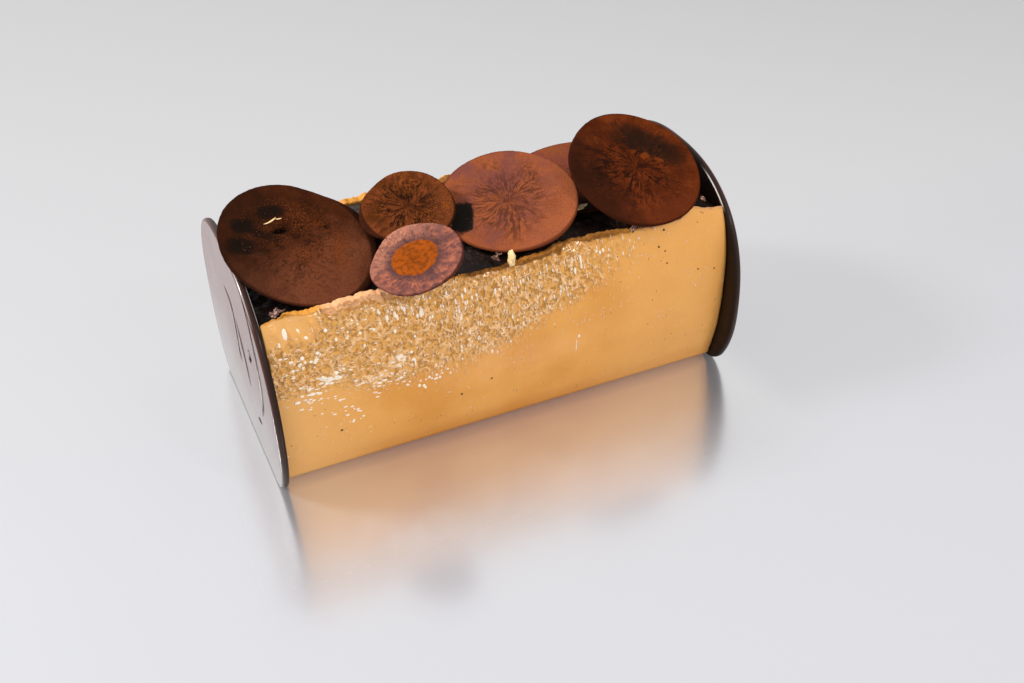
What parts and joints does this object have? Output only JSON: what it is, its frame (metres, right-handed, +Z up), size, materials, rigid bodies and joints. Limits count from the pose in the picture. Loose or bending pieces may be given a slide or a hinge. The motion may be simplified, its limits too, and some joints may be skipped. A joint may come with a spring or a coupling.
{
  "type": "yule log cake",
  "caption": "Yule log cake in caramel glaze with an open top of dark chocolate filling, a large chocolate plate on each end and thin chocolate discs laid over the opening.",
  "frame": {"origin": "middle of the footprint, on the surface that the log rests on", "axes": "+X along the log towards its right end, +Z up, the pictured long side faces -Y"},
  "size_m": [0.1604, 0.088, 0.0836],
  "materials": {
    "caramel_glaze": "semi-gloss caramel glaze, crackled and bubbled towards one end",
    "dark_filling": "moist dark chocolate",
    "gloss_chocolate": "tempered dark chocolate with a mirror-like shine and pressed growth rings",
    "dark_disc": "thin dark chocolate dusted with cocoa",
    "rose_disc": "thin bloomed chocolate with an orange cocoa centre",
    "milk_disc": "thin milk chocolate with dark radial veins",
    "flake": "broken chocolate",
    "pale_chip": "pale broken glaze"
  },
  "bodies": {
    "root": {"caramel_shell": "caramel_glaze", "chocolate_filling": "dark_filling", "end_plate_left": "gloss_chocolate", "end_plate_right": "gloss_chocolate", "disc_left_dark": "dark_disc", "disc_small_dark": "dark_disc", "disc_small_rose": "rose_disc", "disc_middle_milk": "milk_disc", "disc_flat_back": "milk_disc", "disc_right_dark": "dark_disc", "flake_left": "flake", "flake_middle": "flake", "chip_pale": "pale_chip", "flake_centre_right": "flake", "flake_right": "flake"}
  },
  "joints": []
}
